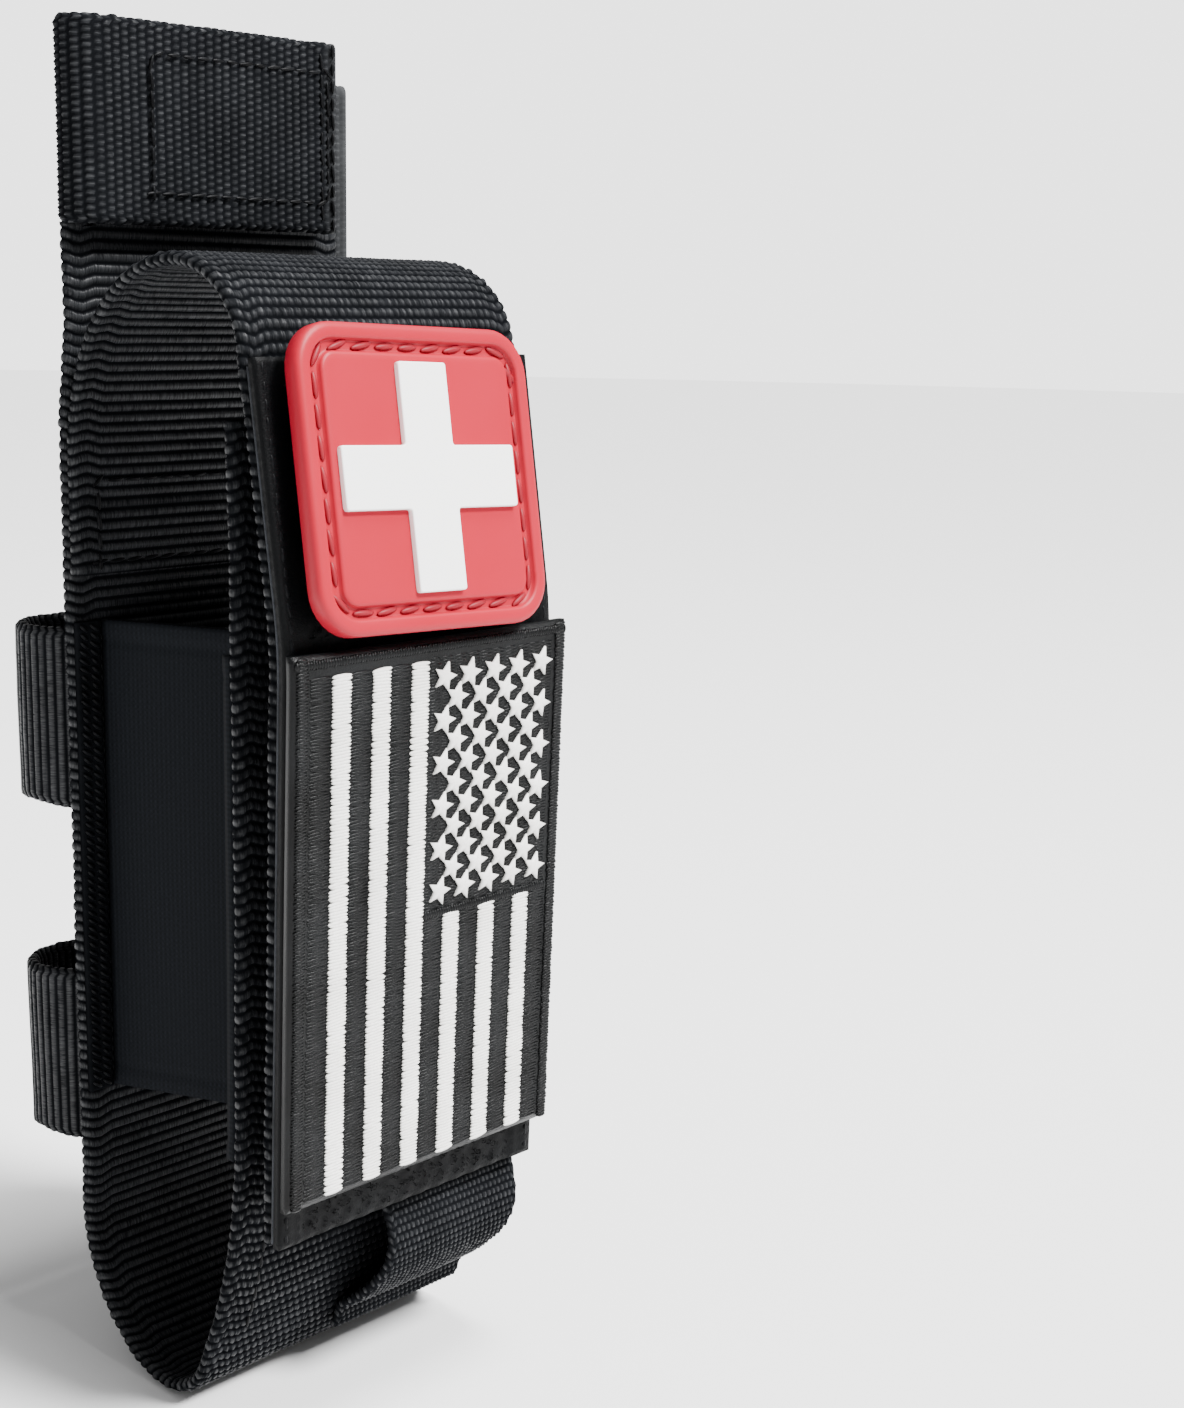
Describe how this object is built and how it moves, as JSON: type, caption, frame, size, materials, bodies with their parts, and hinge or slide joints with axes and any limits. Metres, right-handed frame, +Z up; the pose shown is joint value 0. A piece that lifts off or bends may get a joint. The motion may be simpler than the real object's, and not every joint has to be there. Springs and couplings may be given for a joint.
{
  "type": "tourniquet holder",
  "caption": "Open-sided webbing holder for a folded tourniquet, with a hinged front flap, an elastic sleeve, rear rings, a top tab and two removable patches.",
  "frame": {"origin": "middle of the upper rear ring's flat rear face, which lies against what carries the holder", "axes": "+Z up, +Y to the rear, +X to the right seen from the front"},
  "size_m": [0.056, 0.0753, 0.2034],
  "materials": {
    "heavy_webbing": "ribbed nylon webbing",
    "light_webbing": "finer nylon webbing",
    "elastic": "knitted elastic",
    "thread": "bonded nylon thread",
    "loop_pile": "fuzzy loop pile",
    "hook_tape": "hook tape",
    "backing": "smooth coated cloth",
    "red_pvc": "soft moulded PVC, matte",
    "dark_red_pvc": "soft moulded PVC, matte",
    "white_pvc": "soft moulded PVC, matte",
    "black_embroidery": "embroidered cloth",
    "white_embroidery": "satin stitch"
  },
  "bodies": {
    "holder": {"main_strap": "heavy_webbing", "flap_root_strap": "heavy_webbing", "flap_root_stitching": "thread", "upper_rear_ring": "light_webbing", "lower_rear_ring": "light_webbing", "ring_stitching": "thread", "sleeve_front_band": "elastic", "sleeve_left_panel": "elastic", "sleeve_right_panel": "elastic", "sleeve_left_edge_tape": "light_webbing", "sleeve_right_edge_tape": "light_webbing", "sleeve_stitching": "thread", "closure_hook_tape": "hook_tape", "marker_loop": "light_webbing", "marker_loop_stitching": "thread", "tab_base_strap": "light_webbing", "tab_loop_patch": "loop_pile", "tab_base_stitching": "thread"},
    "flap": {"flap_strap": "heavy_webbing", "panel_backing": "backing", "loop_panel": "loop_pile", "panel_stitching": "thread", "closure_loop_tape": "loop_pile"},
    "top_tab": {"tab_strap": "light_webbing", "tab_hook_patch": "hook_tape", "tab_box_stitching": "thread"},
    "cross_patch": {"cross_patch_base": "red_pvc", "cross_patch_emblem": "white_pvc", "cross_patch_moulded_stitches": "dark_red_pvc", "cross_patch_hook": "hook_tape"},
    "flag_patch": {"flag_ground": "black_embroidery", "flag_border": "black_embroidery", "flag_canton": "black_embroidery", "flag_stripes": "white_embroidery", "flag_stars": "white_embroidery", "flag_hook": "hook_tape"}
  },
  "joints": [
    {"name": "flap_lift", "type": "hinge", "parent": "holder", "child": "flap", "pos_m": [0, -0.05009, 0.06878], "axis": [-1, 0, 0], "range_deg": [0, 115]},
    {"name": "tab_open", "type": "hinge", "parent": "holder", "child": "top_tab", "pos_m": [-0.02148, -0.02445, 0.08775], "axis": [0, 0, -1], "range_deg": [0, 150]},
    {"name": "cross_patch_pull", "type": "slide", "parent": "flap", "child": "cross_patch", "axis": [0, -1, 0], "range_m": [0, 0.04]},
    {"name": "flag_patch_pull", "type": "slide", "parent": "flap", "child": "flag_patch", "axis": [0, -1, 0], "range_m": [0, 0.04]}
  ]
}
